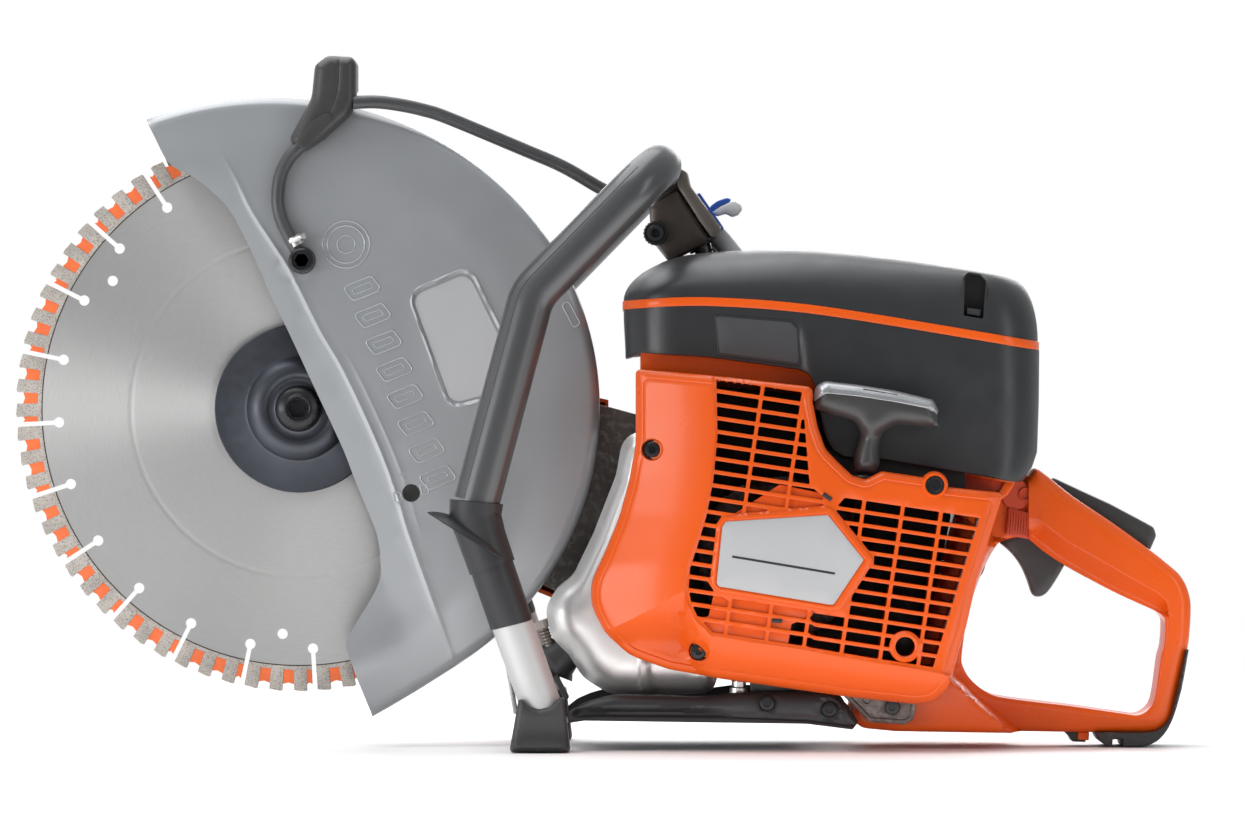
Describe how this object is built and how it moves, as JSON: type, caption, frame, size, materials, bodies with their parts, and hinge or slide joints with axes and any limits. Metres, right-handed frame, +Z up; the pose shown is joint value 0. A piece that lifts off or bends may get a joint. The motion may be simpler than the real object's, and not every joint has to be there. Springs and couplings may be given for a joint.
{
  "type": "concrete cut-off saw",
  "caption": "Hand-held petrol cut-off saw for concrete: diamond blade on a belt-driven arm under a turning guard, front handle hoop, rear handle with tank.",
  "frame": {"origin": "on the ground, at the centre of the outer box's footprint", "axes": "+X from the blade towards the rear handle, +Y away from the starter side, +Z up"},
  "size_m": [0.7278, 0.224, 0.424],
  "materials": {
    "orange": "glossy moulded orange plastic",
    "graphite": "satin dark grey moulded plastic",
    "grip_plastic": "satin dark grey moulded plastic",
    "black_plastic": "satin black plastic",
    "cast": "rough die-cast aluminium",
    "guard": "pressed aluminium painted silver-grey",
    "tube": "drawn aluminium tube",
    "muffler": "pressed aluminised steel",
    "steel": "ground steel",
    "blade": "ground steel disc with sintered diamond rim",
    "dark_steel": "black oxide steel",
    "black_steel": "black painted pressed steel",
    "rubber": "black rubber",
    "sleeve": "dark grey moulded grip",
    "hose": "black hose",
    "bulb": "clear soft bulb",
    "rope": "braided cord",
    "blue": "blue plastic",
    "ceramic": "glazed ceramic and steel",
    "filter": "pleated paper"
  },
  "bodies": {
    "chassis": {"crankcase": "cast", "cylinder": "cast", "cylinder_shroud": "orange", "spark_plug": "ceramic", "carburettor": "cast", "air_filter": "filter", "air_filter_housing": "graphite", "cover_trim": "orange", "air_filter_lid": "graphite", "muffler_front_shell": "muffler", "muffler_rear_shell": "muffler", "starter_cover": "orange", "starter_rope": "rope", "cutting_arm": "cast", "belt_guard": "orange", "clutch_cover": "graphite", "drive_belt": "rubber", "spindle_bearing": "steel", "tank_handle_left": "orange", "tank_handle_right": "orange", "rear_foot": "rubber", "front_handle_tube": "tube", "handle_grip": "sleeve", "handle_sleeve": "sleeve", "foot_left": "rubber", "foot_right": "rubber", "base_bracket": "black_steel", "rubber_damper": "rubber", "valve_bracket": "cast", "valve_body": "black_plastic", "guard_supply_hose": "hose", "inlet_hose": "hose", "water_coupling": "black_plastic"},
    "spindle": {"blade": "blade", "outer_flange": "dark_steel", "inner_flange": "dark_steel", "blade_bolt": "dark_steel", "spindle_shaft": "steel", "driven_pulley": "cast"},
    "crank": {"crankshaft": "steel", "flywheel": "cast", "clutch_shoes": "dark_steel", "clutch_drum": "steel"},
    "piston_body": {"piston": "cast"},
    "guard": {"guard_left_shell": "guard", "guard_right_shell": "guard", "guard_grip": "grip_plastic", "guard_hose": "hose", "spray_nozzle": "dark_steel"},
    "trigger": {"throttle_trigger": "grip_plastic"},
    "lockout": {"throttle_lockout": "grip_plastic"},
    "grip": {"starter_grip": "grip_plastic"},
    "rope_pulley": {"starter_pulley": "black_plastic"},
    "tap_lever": {"valve_lever": "blue"},
    "cap": {"fuel_cap": "black_plastic"},
    "decompression": {"decompression_valve": "blue"},
    "stop": {"stop_switch": "black_plastic"},
    "choke": {"choke_knob": "blue"},
    "bulb": {"purge_bulb": "bulb"}
  },
  "joints": [
    {"name": "blade_spin", "type": "hinge", "parent": "chassis", "child": "spindle", "pos_m": [-0.187, 0, 0.208], "axis": [0, -1, 0], "continuous": true},
    {"name": "crank_spin", "type": "hinge", "parent": "chassis", "child": "crank", "pos_m": [0.109, 0, 0.117], "axis": [0, -1, 0], "continuous": true},
    {"name": "piston_slide", "type": "slide", "parent": "chassis", "child": "piston_body", "axis": [0.1219, 0, 0.9925], "range_m": [-0.036, 0]},
    {"name": "guard_turn", "type": "hinge", "parent": "chassis", "child": "guard", "pos_m": [-0.187, 0, 0.208], "axis": [0, -1, 0], "range_deg": [-25, 30], "deforming": ["guard_supply_hose"]},
    {"name": "trigger_pull", "type": "hinge", "parent": "chassis", "child": "trigger", "pos_m": [0.268, 0, 0.143], "axis": [0, -1, 0], "range_deg": [0, 14], "stiffness_Nm_per_rad": 0.5, "springref_deg": -11.46},
    {"name": "lockout_press", "type": "hinge", "parent": "chassis", "child": "lockout", "pos_m": [0.283, 0, 0.157], "axis": [0, 1, 0], "range_deg": [0, 6], "stiffness_Nm_per_rad": 0.5, "springref_deg": -11.46},
    {"name": "starter_pull", "type": "slide", "parent": "chassis", "child": "grip", "axis": [0.0872, 0, 0.9962], "range_m": [0, 0.7], "stiffness_N_per_m": 6, "springref_m": -1.2, "deforming": ["starter_rope"]},
    {"name": "starter_pulley_turn", "type": "hinge", "parent": "chassis", "child": "rope_pulley", "pos_m": [0.109, 0, 0.117], "axis": [0, -1, 0], "range_deg": [0, 1440]},
    {"name": "water_tap", "type": "hinge", "parent": "chassis", "child": "tap_lever", "pos_m": [0.0677, 0.02, 0.3364], "axis": [0.8634, 0, 0.5045], "range_deg": [0, 90]},
    {"name": "fuel_cap_turn", "type": "hinge", "parent": "chassis", "child": "cap", "pos_m": [0.194, 0.06, 0.038], "axis": [0, 1, 0], "range_deg": [-90, 0]},
    {"name": "decompression_press", "type": "slide", "parent": "chassis", "child": "decompression", "axis": [0, -1, 0], "range_m": [0, 0.004], "stiffness_N_per_m": 500, "springref_m": -0.002},
    {"name": "stop_slide", "type": "slide", "parent": "chassis", "child": "stop", "axis": [1, 0, 0], "range_m": [0, 0.006]},
    {"name": "choke_pull", "type": "slide", "parent": "chassis", "child": "choke", "axis": [0, 1, 0], "range_m": [0, 0.012]},
    {"name": "bulb_press", "type": "slide", "parent": "chassis", "child": "bulb", "axis": [0, -1, 0], "range_m": [0, 0.003], "stiffness_N_per_m": 400, "springref_m": -0.002}
  ],
  "couplings": [
    {"joint": "crank_spin", "follows": "blade_spin", "ratio": 1.9792},
    {"joint": "starter_pulley_turn", "follows": "starter_pull", "rad_per_m": 35.7}
  ]
}
